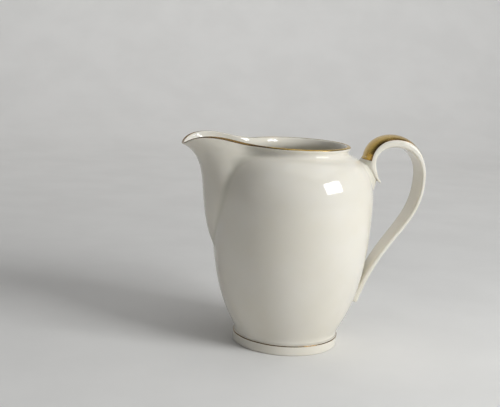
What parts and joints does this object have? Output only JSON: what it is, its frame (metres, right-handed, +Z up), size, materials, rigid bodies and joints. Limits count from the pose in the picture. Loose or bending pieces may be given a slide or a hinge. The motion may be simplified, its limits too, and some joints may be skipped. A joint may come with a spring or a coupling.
{
  "type": "milk jug",
  "caption": "Porcelain milk jug: a swelling body on a low foot ring, with a beak spout, a scrolled strap handle and gold lines on the rim, foot and handle.",
  "frame": {"origin": "on the table under the middle of the jug's box from spout tip to handle, so the body's own axis stands at x = -5.4 mm", "axes": "+Z up; +X from the spout to the handle; +Y across the jug"},
  "size_m": [0.1336, 0.0868, 0.1171],
  "materials": {
    "porcelain": "glossy ivory glaze",
    "gold": "burnished gold lustre, fired on the glaze"
  },
  "bodies": {
    "root": {"body": "porcelain", "foot_ring": "porcelain", "spout": "porcelain", "handle": "porcelain", "handle_root": "porcelain", "rim_gold_line": "gold", "foot_gold_line": "gold", "handle_gold_band": "gold"}
  },
  "joints": []
}
